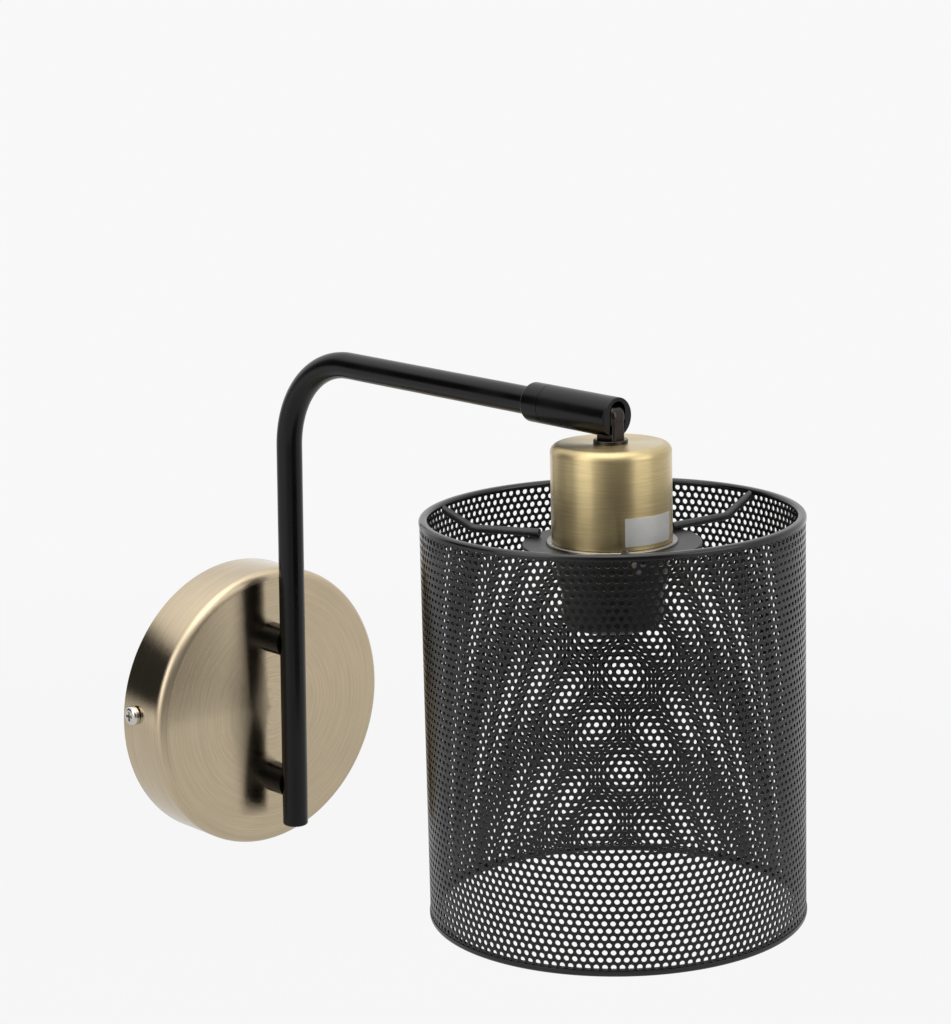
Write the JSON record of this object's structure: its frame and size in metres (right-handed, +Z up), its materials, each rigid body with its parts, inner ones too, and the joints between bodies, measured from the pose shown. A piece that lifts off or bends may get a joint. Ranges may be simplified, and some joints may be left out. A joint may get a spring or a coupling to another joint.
{
  "type": "wall lamp",
  "caption": "Wall lamp with a round brass canopy, bent black arm, swivel and tilt joint, brass socket cup and cylindrical perforated metal shade.",
  "frame": {"origin": "centre of the canopy on the wall plane", "axes": "+Y into the wall, the lamp stands out along -Y; +Z up; +X to the right seen from the room"},
  "size_m": [0.14, 0.2954, 0.2184],
  "materials": {
    "antique_brass": "brushed antique brass, turned brushing, clear lacquer",
    "black_paint": "satin black powder coat",
    "shade_black": "satin charcoal black powder coat",
    "spider_grey": "satin dark grey coat",
    "gunmetal": "dark bronze plated steel",
    "nickel": "bright nickel plate",
    "zinc_steel": "zinc plated steel",
    "terminal_plastic": "white moulded plastic",
    "contact_brass": "plain brass",
    "holder_black": "black moulded plastic, semi gloss",
    "insert_white": "white ceramic",
    "foil": "plain silver foil",
    "wire_brown": "brown insulation",
    "wire_blue": "blue insulation",
    "wire_green": "green and yellow insulation",
    "friction_plastic": "pale nylon"
  },
  "bodies": {
    "wall_arm": {"canopy": "antique_brass", "wall_bracket": "zinc_steel", "canopy_screws": "nickel", "terminal_block": "terminal_plastic", "terminal_sleeves": "contact_brass", "terminal_screws": "zinc_steel", "terminal_block_screw": "zinc_steel", "earth_washer": "contact_brass", "earth_screw": "zinc_steel", "earth_lead": "wire_green", "live_wire": "wire_brown", "neutral_wire": "wire_blue", "upper_standoff": "black_paint", "lower_standoff": "black_paint", "standoff_washers": "zinc_steel", "standoff_nuts": "zinc_steel", "arm_tube": "black_paint", "tube_end_plug": "black_paint", "swivel_collar": "black_paint"},
    "swivel": {"swivel_fork": "black_paint", "friction_washer": "friction_plastic", "retaining_ring": "zinc_steel", "hinge_pins": "black_paint"},
    "head": {"knuckle": "gunmetal", "lock_washer": "zinc_steel", "knuckle_nut": "zinc_steel", "socket_cup": "antique_brass", "cup_seat_ring": "antique_brass", "blank_foil": "foil", "lampholder_cap": "holder_black", "lampholder_body": "holder_black", "lampholder_insert": "insert_white", "screw_shell": "contact_brass", "centre_contact": "contact_brass", "holder_terminal_screws": "zinc_steel", "holder_wires": "wire_brown", "shade_ring": "holder_black", "spider_ring": "spider_grey", "spider_spoke_1": "spider_grey", "spider_spoke_2": "spider_grey", "spider_spoke_3": "spider_grey", "top_rim": "shade_black", "bottom_rim": "shade_black", "mesh_shade": "shade_black"}
  },
  "joints": [
    {"name": "swivel_turn", "type": "hinge", "parent": "wall_arm", "child": "swivel", "pos_m": [0, -0.219, 0.152], "axis": [0, -1, 0], "range_deg": [-165, 165]},
    {"name": "head_tilt", "type": "hinge", "parent": "swivel", "child": "head", "pos_m": [0, -0.219, 0.152], "axis": [-1, 0, 0], "range_deg": [-6, 88]}
  ]
}
